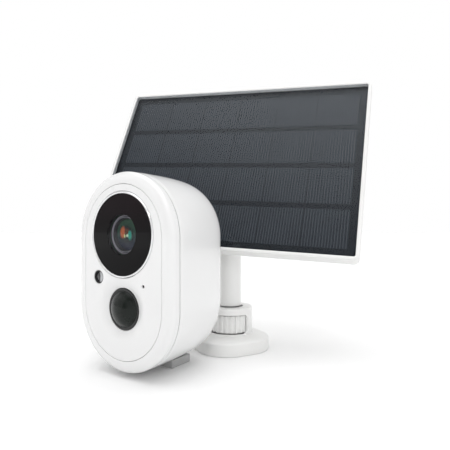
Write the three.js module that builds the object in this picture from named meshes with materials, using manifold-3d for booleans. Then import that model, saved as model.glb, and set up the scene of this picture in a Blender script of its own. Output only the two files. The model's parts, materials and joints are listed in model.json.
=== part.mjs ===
// Solar-powered security camera: a battery camera and the solar panel that charges it.
// Units are millimetres and +Z is up. The origin is the centre of the stand base's underside,
// +X runs along the panel's width and the panel faces -Y.
import * as THREE from 'three';
import { mergeVertices } from 'three/addons/utils/BufferGeometryUtils.js';
import Module from 'manifold-3d';

const wasm = await Module();
wasm.setup();

const GAP = 0.3;                       // air between pieces that touch
const DEG = Math.PI / 180;

// ---- driving dimensions: camera -------------------------------------------------------------
const CAMERA_HEIGHT = 92.7;
const CAMERA_LIFT = 2.6;               // the foot holds the shell off the ground
const CAMERA_MIDDLE = CAMERA_LIFT + CAMERA_HEIGHT / 2;
const CAMERA_WIDTH = 61.5;
const CAMERA_DEPTH = 45.5;
const CAMERA_PLACE = [-30.6, -66.9, 0];  // foot of the face plane's centre line
const CAMERA_TURN = -15.4 * DEG;
const SEAM_DEPTH = 5.2;                // back edge of the front shell
const WALL = 2;                        // shell wall
const FACEPLATE_INSET = 5.7;           // from the outline to the groove around the faceplate
const SHELL_OPENING_INSET = 11;        // from the outline to the front shell's inner opening
const WINDOW = { z: 66.2, ring: 20, glass: 18.9 };
const LENS_RADIUS = 7.2;
const PIR = { z: 31.8, rim: 9.6 };
const LIGHT_SENSOR = { x: -15.5, z: 45.8, r: 3.2 };
const MICROPHONE = { x: 14, z: 43.4, r: 0.8 };
const FOOT = { halfWidth: 10, front: 24, back: 38 };
const CELL = { r: 8.8, length: 50, x: 15.3, z: 50, depth: 33.9 };
const PORT = { x: -3, z: 18.1, width: 12.6, height: 8.4 };
const BUTTON = { x: 9.4, z: 19, r: 2.6 };
const INSERT_Z = 48;

// ---- driving dimensions: solar panel ----------------------------------------------------------
const GLASS_WIDTH = 155.3;             // what the frame's lip leaves open
const GLASS_HEIGHT = 108;
const FRAME_LIP = 2;
const PANEL_THICKNESS = 6.5;           // glass face to the frame's back edge
const PANEL_CENTRE = [-4, 7, 107.8];   // centre of the glass face
const PANEL_LEAN = 24.4 * DEG;
const PANEL_ROLL = 3.15 * DEG;

// ---- driving dimensions: stand ------------------------------------------------------------------
const BASE_SIDE = 41.3;
const BASE_CORNER = 16;
const BASE_TURN = -43 * DEG;
const BASE_TOP = 9;
const CAGE_RADIUS = 12.85;
const CAGE_TOP = 23.9;
const CAGE_WALL = 1.1;
const WINDOW_HALF_ANGLE = 66.7 * DEG;
const WHEEL = { outer: 11.4, inner: 8.6, bottom: 10, top: 19.8, ribs: 24, groove: 0.5 };
const STEM_RADIUS = 6.4;
const STEM_TOP = 57;
const TILT_PIN = [0, 8, 67];
const EAR = { inner: 2.6, outer: 6.2, r: 5 };

// ---- materials --------------------------------------------------------------------------------------
const plastic = (color, roughness = 0.45) => new THREE.MeshStandardMaterial({ color, roughness, metalness: 0 });
const metal = (color, roughness = 0.35) => new THREE.MeshStandardMaterial({ color, roughness, metalness: 1 });
const WHITE = () => plastic(0xeeeeec);
const BLACK = () => plastic(0x17181a);
const BOARD = () => plastic(0x1f5b3a, 0.6);
const STEEL = () => metal(0xb8bbbf);
const BRASS = () => metal(0xc2a15a);
const RUBBER = () => plastic(0x8c8d8c, 0.8);

// ---- solid helpers --------------------------------------------------------------------------------------
function tidy(geometry) {
  // One closed, outward-facing mesh with shared corners and no collapsed triangles.
  const bare = geometry.clone();
  bare.deleteAttribute('normal');
  bare.deleteAttribute('uv');
  const merged = mergeVertices(bare, 1e-3);
  const corner = merged.getAttribute('position');
  const source = Array.from(merged.index.array);
  const kept = [];
  let volume = 0;
  const [a, b, c] = [new THREE.Vector3(), new THREE.Vector3(), new THREE.Vector3()];
  for (let i = 0; i < source.length; i += 3) {
    const [i0, i1, i2] = source.slice(i, i + 3);
    if (i0 === i1 || i1 === i2 || i2 === i0) continue;
    kept.push(i0, i1, i2);
    a.fromBufferAttribute(corner, i0);
    b.fromBufferAttribute(corner, i1);
    c.fromBufferAttribute(corner, i2);
    volume += a.dot(b.cross(c));
  }
  if (volume < 0) kept.reverse();
  merged.setIndex(kept);
  return merged;
}

function toManifold(geometry) {
  const closed = tidy(geometry);
  return new wasm.Manifold(new wasm.Mesh({
    numProp: 3,
    vertProperties: new Float32Array(closed.getAttribute('position').array),
    triVerts: new Uint32Array(closed.index.array),
  }));
}

function toGeometry(manifold) {
  const out = manifold.getMesh();
  const geometry = new THREE.BufferGeometry();
  geometry.setAttribute('position', new THREE.BufferAttribute(new Float32Array(out.vertProperties), 3));
  geometry.setIndex(Array.from(out.triVerts));
  return geometry;
}

function cut(body, ...tools) {
  return toGeometry(tools.reduce((left, tool) => left.subtract(toManifold(tool)), toManifold(body)));
}

function join(body, ...others) {
  return toGeometry(others.reduce((sum, other) => sum.add(toManifold(other)), toManifold(body)));
}

// ---- shape helpers ---------------------------------------------------------------------------------------
// Camera pieces are laid out in x (right), y (depth behind the face) and z (up).
const box = (x0, x1, y0, y1, z0, z1) => new THREE.BoxGeometry(x1 - x0, y1 - y0, z1 - z0)
  .translate((x0 + x1) / 2, (y0 + y1) / 2, (z0 + z1) / 2);

function turned(profile, segments = 24) {
  // Turned about the depth axis: profile is a closed list of [radius, depth].
  const points = [...profile, profile[0]].map(([r, y]) => new THREE.Vector2(r, y));
  return new THREE.LatheGeometry(points, segments);
}

const disc = (r, y0, y1, x = 0, z = 0, segments = 24) =>
  turned([[0, y0], [r, y0], [r, y1], [0, y1]], segments).translate(x, 0, z);

const tube = (inner, outer, y0, y1, x = 0, z = 0, segments = 24) =>
  turned([[inner, y0], [outer, y0], [outer, y1], [inner, y1]], segments).translate(x, 0, z);

// The same about the vertical axis: [radius, height].
const spun = (profile, segments = 32) => turned(profile, segments).rotateX(Math.PI / 2);

const pillar = (r, z0, z1, x = 0, y = 0, segments = 20) =>
  spun([[0, z0], [r, z0], [r, z1], [0, z1]], segments).translate(x, y, 0);

function roundedOutline(width, height, radius, steps = 7) {
  // Rounded rectangle about the middle, counter-clockwise, with the same count whatever its size.
  const points = [];
  const centres = [[1, 1], [-1, 1], [-1, -1], [1, -1]];
  centres.forEach(([sx, sy], quarter) => {
    for (let i = 0; i <= steps; i += 1) {
      const angle = (quarter + i / steps) * Math.PI / 2;
      points.push(new THREE.Vector2(
        sx * (width / 2 - radius) + radius * Math.cos(angle),
        sy * (height / 2 - radius) + radius * Math.sin(angle),
      ));
    }
  });
  return points;
}

function stack(outlineAt, levels) {
  // A closed body through one outline per level: levels are [inset, height along +Z].
  const rings = levels.map(([inset, height]) => outlineAt(inset).map((p) => [p.x, p.y, height]));
  const count = rings[0].length;
  const index = [];
  for (let level = 0; level + 1 < rings.length; level += 1) {
    for (let i = 0; i < count; i += 1) {
      const [a, b] = [level * count + i, level * count + (i + 1) % count];
      index.push(a, b, b + count, a, b + count, a + count);
    }
  }
  const cap = (ring) => THREE.ShapeUtils.triangulateShape(ring.map(([x, y]) => new THREE.Vector2(x, y)), []);
  cap(rings[0]).forEach(([a, b, c]) => index.push(a, c, b));
  const last = (rings.length - 1) * count;
  cap(rings[rings.length - 1]).forEach(([a, b, c]) => index.push(last + a, last + b, last + c));
  const geometry = new THREE.BufferGeometry();
  geometry.setAttribute('position', new THREE.Float32BufferAttribute(rings.flat(2), 3));
  geometry.setIndex(index);
  return geometry;
}

function extruded(outline, z0, z1, holes = []) {
  const shape = new THREE.Shape(outline);
  holes.forEach((hole) => shape.holes.push(new THREE.Path(hole)));
  return new THREE.ExtrudeGeometry(shape, { depth: z1 - z0, bevelEnabled: false }).translate(0, 0, z0);
}

// Turns a body built along +Z so that its +Z becomes depth (+Y) and its +Y becomes up, mirrored in x.
const facing = (geometry) => geometry.rotateX(-Math.PI / 2).rotateY(Math.PI);

const pill = (inset) => roundedOutline(
  CAMERA_WIDTH - 2 * inset, CAMERA_HEIGHT - 2 * inset, CAMERA_WIDTH / 2 - inset - 0.01,
);
const pillBody = (levels) => facing(stack(pill, levels)).translate(0, 0, CAMERA_MIDDLE);

const group = new THREE.Group();
const camera = new THREE.Group();
camera.position.set(...CAMERA_PLACE);
camera.rotation.z = CAMERA_TURN;
const panel = new THREE.Group();
panel.position.set(...PANEL_CENTRE);
panel.rotation.set(-PANEL_LEAN, PANEL_ROLL, 0);
group.add(camera, panel);

function add(parent, name, geometry, material) {
  const mesh = new THREE.Mesh(tidy(geometry), material);
  mesh.name = name;
  parent.add(mesh);
  return mesh;
}

// ==== camera: shells ==========================================================================================
const sideScrews = [[-1, -1], [1, -1], [-1, 1], [1, 1]]
  .map(([sx, sz]) => [sx * (CAMERA_WIDTH / 2 - 8.4), CAMERA_MIDDLE + 12 * sz]);

function frontShell() {
  let shell = cut(
    pillBody([[FACEPLATE_INSET, 0], [3, 0.2], [1.2, 0.9], [0.3, 1.8], [0, 2.8], [0, SEAM_DEPTH]]),
    pillBody([[FACEPLATE_INSET, -1], [FACEPLATE_INSET, 2.3]]),
    pillBody([[SHELL_OPENING_INSET, 1], [SHELL_OPENING_INSET, 7]]),
  );
  sideScrews.forEach(([x, z]) => {
    shell = cut(shell, disc(2.2, 1, 3.6, x, z, 12), disc(1.3, 3, 7, x, z, 10));
  });
  return shell;
}
add(camera, 'front_shell', frontShell(), WHITE());

function faceplate() {
  return cut(
    pillBody([[FACEPLATE_INSET + GAP, 0], [FACEPLATE_INSET + GAP, 2]]),
    disc(WINDOW.ring + GAP, -1, 3, 0, WINDOW.z, 36),
    disc(PIR.rim + GAP, -1, 3, 0, PIR.z, 28),
    disc(LIGHT_SENSOR.r + GAP, -1, 3, LIGHT_SENSOR.x, LIGHT_SENSOR.z, 14),
    disc(MICROPHONE.r, -1, 3, MICROPHONE.x, MICROPHONE.z, 8),
  );
}
add(camera, 'faceplate', faceplate(), WHITE());

const gasketOuter = 2.6;
const gasketInner = 4.4;
add(camera, 'shell_gasket', cut(
  pillBody([[gasketOuter, SEAM_DEPTH + GAP], [gasketOuter, 7]]),
  pillBody([[gasketInner, 4], [gasketInner, 8]]),
), RUBBER());

function rearShell() {
  const back = CAMERA_DEPTH;
  const outside = [[0.2, SEAM_DEPTH + 0.4], [0, 9], [0.5, 24], [1.5, back - 11], [3.2, back - 5.4],
    [6.4, back - 1.7], [11, back]];
  const inside = outside.map(([inset, depth], i) => [inset + (i < 4 ? WALL : WALL * 1.2), depth - WALL * i / 6]);
  inside[0][1] = 4;
  let shell = cut(pillBody(outside), pillBody(inside));
  const bosses = sideScrews.map(([x, z]) => {
    const [x0, x1] = x < 0 ? [-CAMERA_WIDTH / 2 + 1, x + 2.4] : [x - 2.4, CAMERA_WIDTH / 2 - 1];
    return box(x0, x1, 7.3, 14, z - 2.6, z + 2.6);
  });
  const insertBoss = disc(6, back - 8, back - 1, 0, INSERT_Z, 20);
  shell = join(shell, ...bosses, insertBoss);
  const screwBores = sideScrews.map(([x, z]) => disc(1.3, 6, 12.5, x, z, 10));
  const slots = [-1, 0, 1].map((i) => box(4 * i - 0.7, 4 * i + 0.7, 9, 15, -1, 8));
  return cut(
    shell, ...screwBores, ...slots,
    disc(4.6, back - 9, back + 1, 0, INSERT_Z, 20),
    disc(BUTTON.r + GAP, back - 6, back + 1, BUTTON.x, BUTTON.z, 16),
    box(PORT.x - PORT.width / 2, PORT.x + PORT.width / 2, back - 6, back + 1,
      PORT.z - PORT.height / 2, PORT.z + PORT.height / 2),
    box(-FOOT.halfWidth - GAP, FOOT.halfWidth + GAP, FOOT.front - GAP, FOOT.back + GAP,
      -1, CAMERA_LIFT + 1.7),
  );
}
add(camera, 'rear_shell', rearShell(), WHITE());

// A flat-bottomed rubber pad let into the underside: the camera stands on it.
function footPad() {
  const { halfWidth, front, back } = FOOT;
  const shoulders = cut(
    box(-halfWidth, halfWidth, front, back, 0, CAMERA_LIFT + 2.4),
    pillBody([[-GAP, SEAM_DEPTH], [-GAP, CAMERA_DEPTH]]),
  );
  return join(box(-halfWidth, halfWidth, front, back, 0, CAMERA_LIFT + 1.4), shoulders);
}
add(camera, 'foot_pad', footPad(), RUBBER());

sideScrews.forEach(([x, z], i) => add(
  camera, `shell_screw_${i + 1}`,
  turned([[0, 2.6], [1.9, 2.6], [1.9, 3.3], [1, 3.3], [1, 11.5], [0, 11.5]], 10).translate(x, 0, z), STEEL(),
));

// ==== camera: what looks out of the face ============================================================
const onWindow = (geometry) => geometry.translate(0, 0, WINDOW.z);
add(camera, 'window_ring', onWindow(tube(WINDOW.ring - 0.8, WINDOW.ring, -0.4, 1.9, 0, 0, 36)), STEEL());
add(camera, 'window_glass', onWindow(disc(WINDOW.glass, 0.2, 1.7, 0, 0, 36)), BLACK());
add(camera, 'lens_barrel', onWindow(turned([
  [LENS_RADIUS + 0.3, 2.1], [9.4, 2.1], [9.4, 6], [8.4, 6], [8.4, 14], [4, 14], [4, 8.4], [LENS_RADIUS + 0.3, 8.4],
], 28)), BLACK());
add(camera, 'lens_front', onWindow(turned([
  [0, 2.6], [4, 2.9], [LENS_RADIUS, 4.4], [LENS_RADIUS, 5.8], [0, 5.4],
], 24)), plastic(0x2b3a4a, 0.05));
add(camera, 'lens_rear', onWindow(turned([[0, 9.2], [3.6, 9.8], [3.6, 12], [0, 12.6]], 20)), plastic(0x2b3a4a, 0.05));
add(camera, 'lens_holder', cut(
  box(-9, 9, 14.3, 20.2, WINDOW.z - 9, WINDOW.z + 9),
  onWindow(disc(4, 13, 18, 0, 0, 20)), box(-6, 6, 17.5, 21, WINDOW.z - 6, WINDOW.z + 6),
), BLACK());
add(camera, 'image_sensor', box(-3.5, 3.5, 19, 20.2, WINDOW.z - 2.5, WINDOW.z + 2.5), plastic(0x30343c, 0.2));
add(camera, 'sensor_board', box(-11, 11, 20.5, 21.5, WINDOW.z - 11, WINDOW.z + 11), BOARD());
add(camera, 'infrared_board', onWindow(tube(10.4, 18.4, 6.6, 7.8, 0, 0, 28)), BOARD());
for (let i = 0; i < 4; i += 1) {
  const angle = (i + 0.5) * Math.PI / 2;
  const led = turned([[0, 3], [1.3, 3.4], [1.9, 4.6], [1.9, 6.3], [0, 6.3]], 12);
  add(camera, `infrared_led_${i + 1}`,
    onWindow(led.translate(14.4 * Math.cos(angle), 0, 14.4 * Math.sin(angle))), plastic(0x4a3f4d, 0.1));
}

const onPir = (geometry) => geometry.translate(0, 0, PIR.z);
add(camera, 'motion_lens', onPir(turned([
  [0, -2.1], [3.4, -1.6], [6.4, -0.3], [8.4, 1.3], [PIR.rim, 1.3], [PIR.rim, 2.2], [7.6, 2.2], [5.8, 1.1],
  [3, -0.4], [0, -0.9],
], 24)), BLACK());
add(camera, 'motion_sensor', onPir(disc(4.2, 3, 7.6, 0, 0, 16)), STEEL());
add(camera, 'light_sensor', disc(LIGHT_SENSOR.r, 0.8, 1.9, LIGHT_SENSOR.x, LIGHT_SENSOR.z, 14), BLACK());
add(camera, 'microphone_boot', tube(0.7, 2.4, 2.3, 6, MICROPHONE.x, MICROPHONE.z, 10), RUBBER());
add(camera, 'speaker', disc(8.4, 15, 20, 0, 17, 20), BLACK());

// ==== camera: inside the rear shell ====================================================================
add(camera, 'main_board', box(-21, 21, 22.6, 23.8, 17, 79), BOARD());
add(camera, 'battery_tray', join(
  box(-24, 24, 24.2, 24.8, 22.4, 77.6), box(-22, 22, 24.2, 36, 22.4, 24.4), box(-22, 22, 24.2, 36, 75.6, 77.6),
), BLACK());
[-1, 1].forEach((side, i) => add(
  camera, `battery_cell_${i + 1}`,
  pillar(CELL.r, CELL.z - CELL.length / 2, CELL.z + CELL.length / 2, side * CELL.x, CELL.depth, 20),
  plastic(0x2d6f9e, 0.4),
));
add(camera, 'antenna', box(-10, 10, 12, 12.6, 85, 89), BRASS());
add(camera, 'mount_insert', tube(3.1, 4.3, CAMERA_DEPTH - 7.6, CAMERA_DEPTH - 0.2, 0, INSERT_Z, 20), BRASS());
add(camera, 'port_board', join(box(-12, 13.4, 33, 34.2, 11.4, 21.8), box(7, 13, 34, 38.4, 15.5, 21.5)), BOARD());
add(camera, 'usb_socket', cut(
  box(-7.6, 1.6, 34.5, 42, 14.6, 18), box(-7, 1, 35.2, 43, 15.2, 17.4),
), STEEL());
add(camera, 'card_socket', cut(
  box(-9, 3, 34.5, 40, 18.7, 21.2), box(-8.6, 2.6, 35.2, 41, 19.3, 20.7),
), STEEL());
add(camera, 'memory_card', box(-8.2, 2.2, 35.6, 40.8, 19.6, 20.4), BLACK());
add(camera, 'power_button', turned([
  [0, CAMERA_DEPTH - 5.6], [1, CAMERA_DEPTH - 5.6], [1, CAMERA_DEPTH - 4], [3.3, CAMERA_DEPTH - 4],
  [3.3, CAMERA_DEPTH - 3], [BUTTON.r, CAMERA_DEPTH - 3], [BUTTON.r, CAMERA_DEPTH + 0.3], [0, CAMERA_DEPTH + 0.3],
], 16).translate(BUTTON.x, 0, BUTTON.z), RUBBER());

function portFlap() {
  // Hinged on its rounded lower edge, flush with the back.
  const { x, z, width, height } = PORT;
  const half = width / 2 - GAP;
  const low = z - height / 2 + GAP;
  const barrel = pillar(0.8, x - half, x + half, 0, 0, 12).rotateY(Math.PI / 2);
  return join(
    barrel.translate(0, CAMERA_DEPTH - 0.8, low + 0.8),
    box(x - half, x + half, CAMERA_DEPTH - 1.6, CAMERA_DEPTH, low + 0.8, z + height / 2 - GAP),
  );
}
add(camera, 'port_flap', portFlap(), RUBBER());

// ==== solar panel ============================================================================================
// Laid out like the camera: x right, y behind the glass face and z up the slope.
const sheet = (width, height, radius, y0, y1) =>
  facing(extruded(roundedOutline(width, height, radius, 3), y0, y1));

add(panel, 'panel_frame', cut(
  sheet(GLASS_WIDTH + 2 * FRAME_LIP, GLASS_HEIGHT + 2 * FRAME_LIP, 3, -0.9, PANEL_THICKNESS - 0.5),
  sheet(GLASS_WIDTH, GLASS_HEIGHT, 1.2, -2, 1),
  sheet(GLASS_WIDTH + 2.2, GLASS_HEIGHT + 2.2, 1.6, -GAP, PANEL_THICKNESS + 1),
), WHITE());
add(panel, 'panel_glass', sheet(GLASS_WIDTH + 1.6, GLASS_HEIGHT + 1.6, 1.4, 0, 2), plastic(0x3a444c, 0.1));
add(panel, 'cell_sheet', sheet(GLASS_WIDTH + 1.2, GLASS_HEIGHT + 1.2, 1.4, 2.3, 2.8), plastic(0x27303a, 0.3));

// The stand's pin in the panel's own frame: how far down the slope and behind the glass it sits.
const pinOffset = new THREE.Vector3(...TILT_PIN).sub(new THREE.Vector3(...PANEL_CENTRE))
  .applyAxisAngle(new THREE.Vector3(1, 0, 0), PANEL_LEAN);
const PIN_BEHIND_GLASS = pinOffset.y;
const pinInPanel = pinOffset.clone().applyAxisAngle(new THREE.Vector3(0, 1, 0), -PANEL_ROLL);
const BACK = PANEL_THICKNESS - 0.5;    // back face of the frame and of the back cover
const BOSS = { r: 11.5, end: BACK + 2.6 };
const onMount = (geometry) => geometry.translate(pinInPanel.x, 0, pinInPanel.z);

const panelScrews = [[-1, -1], [1, -1], [-1, 1], [1, 1]]
  .map(([sx, sz]) => [sx * (GLASS_WIDTH / 2 - 6), sz * (GLASS_HEIGHT / 2 - 6)]);
function panelBack() {
  let back = sheet(GLASS_WIDTH + 1.6, GLASS_HEIGHT + 1.6, 1.4, 3.6, BACK);
  back = join(back, onMount(disc(BOSS.r, 4, BOSS.end, 0, 0, 28)));
  panelScrews.forEach(([x, z]) => {
    back = cut(back, disc(2.3, 4.7, 8, x, z, 12));
  });
  back = cut(back, box(10, 16, 3, 8, 22, 28));
  return cut(back, onMount(disc(4.4, 3, BOSS.end + 1, 0, 0, 16)));
}
add(panel, 'panel_back', panelBack(), WHITE());
panelScrews.forEach(([x, z], i) => add(
  panel, `panel_screw_${i + 1}`, disc(2, 5, BACK - 0.1, x, z, 10), STEEL(),
));
add(panel, 'panel_insert', onMount(tube(2.6, 4.1, 3.7, BOSS.end - 0.2, 0, 0, 16)), BRASS());
add(panel, 'junction_box', cut(
  box(-24, 24, BACK + GAP, 15, 12, 36), box(-22.4, 22.4, 5, 13.4, 13.6, 34.4),
  disc(2.2, 5, 14, 0, 0, 12).rotateX(Math.PI / 2).translate(0, 10.4, 0),
), WHITE());
add(panel, 'charge_board', box(-20, 20, 8.4, 9.6, 15.6, 32.4), BOARD());
add(panel, 'lead_gland', spun([
  [1.7, 9], [3.2, 9], [3.2, 11.7], [2, 11.7], [2, 14.4], [1.7, 14.4],
], 14).translate(0, 10.4, 0), BLACK());

// ==== tilting head: turned by the pin, screwed into the panel's back ====================================
const head = new THREE.Group();
head.position.set(...TILT_PIN);
head.rotation.x = -PANEL_LEAN;
group.add(head);
const plateFront = BOSS.end + GAP - PIN_BEHIND_GLASS;
const plateBack = plateFront + 2.4;
function tiltHead() {
  const eye = pillar(EAR.r - 0.2, -EAR.inner + GAP, EAR.inner - GAP, 0, 0, 20).rotateY(Math.PI / 2);
  const neck = box(-EAR.inner + GAP, EAR.inner - GAP, plateBack - 0.5, 0, -4.4, 4.4);
  const stud = disc(2.2, 4.6 - PIN_BEHIND_GLASS, plateFront + 1, 0, 0, 14);
  const bore = pillar(2, -9, 9, 0, 0, 14).rotateY(Math.PI / 2);
  return cut(join(disc(10, plateFront, plateBack, 0, 0, 28), neck, eye, stud), bore);
}
add(head, 'tilt_head', tiltHead(), WHITE());

// ==== stand =====================================================================================================
const square = (inset) => roundedOutline(
  BASE_SIDE - 2 * inset, BASE_SIDE - 2 * inset, BASE_CORNER - inset * 0.9, 5,
);
const squareBody = (levels) => stack(square, levels).rotateZ(BASE_TURN);
const around = (count, radius, start = 0) => Array.from({ length: count }, (_, i) => {
  const angle = start + i * 2 * Math.PI / count;
  return [radius * Math.cos(angle), radius * Math.sin(angle)];
});

function wallPlate() {
  let plate = squareBody([[2.4, 0], [2.4, 2]]);
  around(3, 15, Math.PI / 2).forEach(([x, y]) => {
    plate = cut(plate, pillar(2.1, -1, 3, x, y, 12));
  });
  return plate;
}
add(group, 'wall_plate', wallPlate(), WHITE());

function windowSector(middle) {
  // Wedge that opens the cage around one side.
  const reach = 2 * CAGE_RADIUS;
  const outline = [new THREE.Vector2(0, 0)];
  for (let i = 0; i <= 6; i += 1) {
    const angle = middle + WINDOW_HALF_ANGLE * (i / 3 - 1);
    outline.push(new THREE.Vector2(reach * Math.cos(angle), reach * Math.sin(angle)));
  }
  return extruded(outline, BASE_TOP + 0.6, WHEEL.top + 0.4);
}

function baseHousing() {
  const body = squareBody([[0.4, 0], [0, 0.5], [0, 6.2], [0.7, 7.1], [2.6, 7.8], [7, BASE_TOP]]);
  const hollow = squareBody([[2.1, -1], [2.1, 5.2], [4, 5.9], [7, 6.6]]);
  const cage = spun([
    [CAGE_RADIUS - 3, BASE_TOP - 2], [CAGE_RADIUS, BASE_TOP - 2], [CAGE_RADIUS, CAGE_TOP - 0.8],
    [CAGE_RADIUS - 0.8, CAGE_TOP], [STEM_RADIUS + 1.1, CAGE_TOP], [STEM_RADIUS + 1.1, BASE_TOP - 2],
  ], 36);
  const middle = BASE_TURN - Math.PI / 4;
  return cut(
    join(cut(body, hollow), cage),
    pillar(CAGE_RADIUS - CAGE_WALL, 3, CAGE_TOP - 2.6, 0, 0, 36),
    windowSector(middle), windowSector(middle + Math.PI),
  );
}
add(group, 'base_housing', baseHousing(), WHITE());

function collet() {
  const body = spun([
    [6.9, 2.3], [11, 2.3], [11, 4], [8.3, 4], [8.3, 19.6], [5.7, 19.6], [5.7, 4.5], [6.9, 4.5],
  ], 28);
  return cut(body, box(-0.6, 0.6, -9, 9, 9, 20), box(-9, 9, -0.6, 0.6, 9, 20));
}
add(group, 'stem_collet', collet(), BLACK());

function lockWheel() {
  const outline = [];
  for (let i = 0; i < WHEEL.ribs; i += 1) {
    [[0, 0], [0.5, 0], [0.62, WHEEL.groove], [0.88, WHEEL.groove]].forEach(([part, drop]) => {
      const r = WHEEL.outer - drop;
      const angle = (i + part) * 2 * Math.PI / WHEEL.ribs;
      outline.push(new THREE.Vector2(r * Math.cos(angle), r * Math.sin(angle)));
    });
  }
  const bore = around(24, WHEEL.inner).map(([x, y]) => new THREE.Vector2(x, y));
  return extruded(outline, WHEEL.bottom, WHEEL.top, [bore]);
}
add(group, 'lock_wheel', lockWheel(), WHITE());

add(group, 'swivel_spigot', spun([
  [0, 2.6], [6.5, 2.6], [6.5, 4.2], [5.4, 4.2], [5.4, 24], [4.6, 24.2], [4.6, 38], [0, 38],
], 24), STEEL());

function stemTube() {
  const shaft = spun([
    [4.9, 24.3], [STEM_RADIUS, 24.3], [STEM_RADIUS, STEM_TOP], [0, STEM_TOP], [0, 38.4], [4.9, 38.4],
  ], 28);
  const [, pinY, pinZ] = TILT_PIN;
  const ear = new THREE.Shape();
  // Drawn with (height, depth), then stood up.
  ear.moveTo(STEM_TOP - 2, -5.2);
  ear.lineTo(STEM_TOP + 2.4, pinY - 7.6);
  ear.lineTo(pinZ - 0.6, pinY - EAR.r);
  ear.absarc(pinZ, pinY, EAR.r, -Math.PI / 2, Math.PI / 2, false);
  ear.lineTo(STEM_TOP - 2, 5.2);
  const fork = [[-EAR.outer, -EAR.inner], [EAR.inner, EAR.outer]].map(([x0, x1]) =>
    new THREE.ExtrudeGeometry(ear, { depth: x1 - x0, bevelEnabled: false, curveSegments: 8 })
      .rotateY(-Math.PI / 2).translate(x1, 0, 0));
  const within = join(spun([[0, 20], [STEM_RADIUS, 20], [STEM_RADIUS, STEM_TOP], [0, STEM_TOP]], 28),
    box(-EAR.outer, EAR.outer, -10, 20, STEM_TOP - 0.1, 80));
  const bore = pillar(2, -9, 9, 0, 0, 14).rotateY(Math.PI / 2).translate(0, pinY, pinZ);
  const ears = fork.map((piece) => toGeometry(toManifold(piece).intersect(toManifold(within))));
  return cut(join(shaft, ...ears), bore);
}
add(group, 'stem', stemTube(), WHITE());

const atPin = (geometry) => geometry.rotateY(Math.PI / 2).translate(...TILT_PIN);
add(group, 'tilt_bolt', atPin(spun([
  [0, -8.6], [3.2, -8.6], [3.2, -EAR.outer - GAP], [1.7, -EAR.outer - GAP], [1.7, 11.5], [0, 11.5],
], 12)), STEEL());
add(group, 'tilt_knob', atPin(spun([
  [2, EAR.outer + GAP], [4.8, EAR.outer + GAP], [4.8, 12.6], [0, 12.6], [0, 11.9], [2, 11.9],
], 16)), BLACK());

export default group;
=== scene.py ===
"""Looks of the solar-powered security camera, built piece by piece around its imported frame."""
import json
from math import asin, cos, hypot, pi, radians, sin, sqrt, tan

import bmesh
import bpy
from mathutils import Matrix, Vector


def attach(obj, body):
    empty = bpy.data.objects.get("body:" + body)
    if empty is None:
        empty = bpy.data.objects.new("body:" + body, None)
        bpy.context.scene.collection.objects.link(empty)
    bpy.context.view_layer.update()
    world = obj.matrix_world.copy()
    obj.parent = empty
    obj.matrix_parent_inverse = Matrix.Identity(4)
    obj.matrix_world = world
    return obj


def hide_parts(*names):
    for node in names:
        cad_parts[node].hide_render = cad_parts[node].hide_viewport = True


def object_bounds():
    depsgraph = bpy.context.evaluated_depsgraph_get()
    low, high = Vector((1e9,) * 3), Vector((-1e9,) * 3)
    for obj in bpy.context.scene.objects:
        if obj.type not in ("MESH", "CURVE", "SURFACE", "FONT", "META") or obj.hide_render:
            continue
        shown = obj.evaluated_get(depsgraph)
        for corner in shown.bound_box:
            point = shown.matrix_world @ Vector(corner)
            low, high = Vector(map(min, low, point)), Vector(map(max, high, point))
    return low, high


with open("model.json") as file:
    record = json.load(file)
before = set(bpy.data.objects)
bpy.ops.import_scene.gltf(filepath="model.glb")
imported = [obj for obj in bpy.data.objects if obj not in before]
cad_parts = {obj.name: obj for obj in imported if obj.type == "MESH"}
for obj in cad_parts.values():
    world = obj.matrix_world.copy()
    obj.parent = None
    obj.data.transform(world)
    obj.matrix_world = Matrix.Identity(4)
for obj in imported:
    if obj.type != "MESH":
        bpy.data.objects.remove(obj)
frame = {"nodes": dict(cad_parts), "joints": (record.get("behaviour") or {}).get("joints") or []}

CAD_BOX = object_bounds()
MM = 0.001
TURN = 2 * pi

# ---- view ----
VIEW_POINT = Vector((77.8, -238.0, 70.6))  # mm, level with the middle of the object
VIEW_AZIMUTH = radians(18.75)
VIEW_LENS = 34.4
VIEW_SENSOR = 36

# ---- light ----
SKY_STRENGTH = 2.6
SKY = [(0.0, 0.36), (0.45, 0.36), (0.66, 0.10), (0.76, 0.30), (0.93, 1.0)]  # sine of elevation, level
FLAG = {"towards": Vector((-0.76, -0.65, 0.0)), "from": 0.72, "to": 0.93, "level": 0.16}

# ---- sizes that the frame doesn't give, in millimetres ----
GAP = 0.3  # air between touching pieces
GROOVE = 5.7  # outline of the recess that takes the faceplate
RIM = {"reach": 4.7, "depth": 2.8}  # quarter ellipse around the front shell
SHELL_OPENING = 11
FACEPLATE_THICKNESS = 2
DISH = {"inner": 9.9, "outer": 15.6, "depth": 1.7}
SENSOR_HOLE, MIC_HOLE = 3.25, 0.8  # radii of the small holes in the face
INSERT_HOLE, STUD_HOLE = 4.6, 4.4  # radii of the holes over the threaded inserts
THREAD = {"pitch": 1.27, "bore": 2.9, "depth": 0.5}
DOME = {"cap": 8.5, "rise": 3.7}  # radius and height of the motion sensor's cap
REAR_PROFILE = [(0.0, 9), (0.5, 24), (1.5, 34.5), (3.2, 40.1), (6.4, 43.8), (11, 45.5)]
WALL = 2
LENS_WINDOW = 9.4  # clear middle of the black window print
LENS_RADIUS = 7.2
PANEL_ROLL = radians(3.15)
CELL_COLUMNS, CELL_ROWS = 6, 4
CELL_FIELD = (147.0, 98.2)  # width and height that the cells cover
COLUMN_GAP, ROW_GAP = 0.45, 3.2
FINGERS = 16  # printed silver lines across one cell
BASE_TURN = radians(-43)
BASE_CORNER = 16
RIBS = 24


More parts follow.
